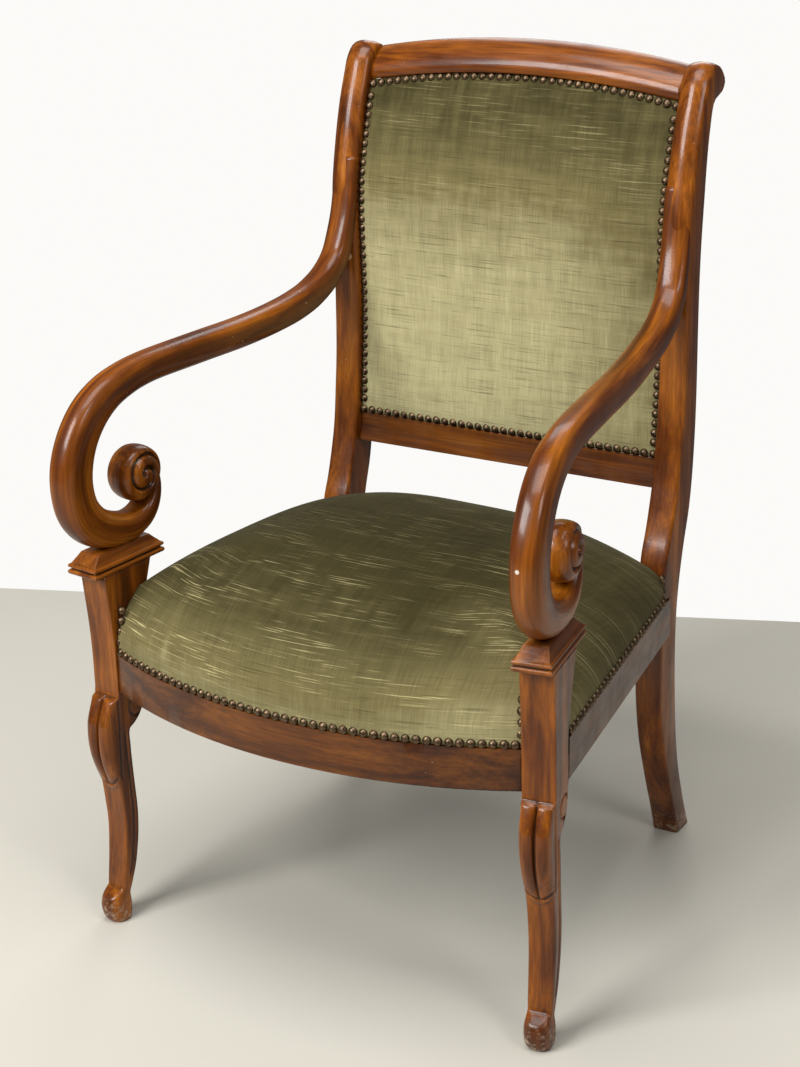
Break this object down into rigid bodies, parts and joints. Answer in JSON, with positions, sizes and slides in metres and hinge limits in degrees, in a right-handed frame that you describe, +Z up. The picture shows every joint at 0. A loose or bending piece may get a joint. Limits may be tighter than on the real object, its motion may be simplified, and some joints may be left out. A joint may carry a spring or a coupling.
{
  "type": "open armchair",
  "caption": "Old open armchair in polished walnut with scroll arms, carved front legs, a domed velvet seat and a nailed velvet back.",
  "frame": {"origin": "middle of the chair's bounding box, at the floor under the feet", "axes": "+Z up, -Y the way the sitter faces, +X the sitter's left"},
  "size_m": [0.5816, 0.5978, 0.938],
  "materials": {
    "frame_wood": "old polished walnut stain, worn",
    "inner_wood": "bare beech",
    "velvet": "olive slub velvet, rubbed",
    "webbing": "jute",
    "stuffing": "hair and wadding",
    "spring_wire": "plain wire",
    "dust_cloth": "thin black cotton",
    "nail_bronze": "dull antique bronze"
  },
  "bodies": {
    "root": {"front_leg_left": "frame_wood", "front_leg_right": "frame_wood", "arm_cap_left": "frame_wood", "arm_cap_right": "frame_wood", "arm_left": "frame_wood", "arm_right": "frame_wood", "side_seat_rail_left": "frame_wood", "side_seat_rail_right": "frame_wood", "arm_post_dowel_left": "inner_wood", "arm_post_dowel_right": "inner_wood", "arm_upright_dowel_left": "inner_wood", "arm_upright_dowel_right": "inner_wood", "back_upright_left": "frame_wood", "back_upright_right": "frame_wood", "front_seat_rail": "frame_wood", "rear_seat_rail": "frame_wood", "back_lower_rail": "frame_wood", "crest_rail": "frame_wood", "corner_block_front_left": "inner_wood", "corner_block_front_right": "inner_wood", "corner_block_rear_left": "inner_wood", "corner_block_rear_right": "inner_wood", "seat_strap_long_1": "webbing", "seat_strap_long_2": "webbing", "seat_strap_long_3": "webbing", "seat_strap_cross_1": "webbing", "seat_strap_cross_2": "webbing", "seat_strap_cross_3": "webbing", "dust_cover": "dust_cloth", "seat_spring_1": "spring_wire", "seat_spring_2": "spring_wire", "seat_spring_3": "spring_wire", "seat_spring_4": "spring_wire", "seat_spring_5": "spring_wire", "seat_spring_6": "spring_wire", "seat_spring_7": "spring_wire", "seat_spring_8": "spring_wire", "seat_spring_9": "spring_wire", "seat_canvas": "webbing", "seat_cover": "velvet", "seat_stuffing": "stuffing", "back_cover": "velvet", "back_stuffing": "stuffing", "back_canvas": "webbing", "back_strap_long_1": "webbing", "back_strap_long_2": "webbing", "back_strap_long_3": "webbing", "back_strap_cross_1": "webbing", "back_strap_cross_2": "webbing", "back_strap_cross_3": "webbing", "back_batten_left": "inner_wood", "back_batten_right": "inner_wood", "outer_back_cover": "velvet"}
  },
  "joints": []
}
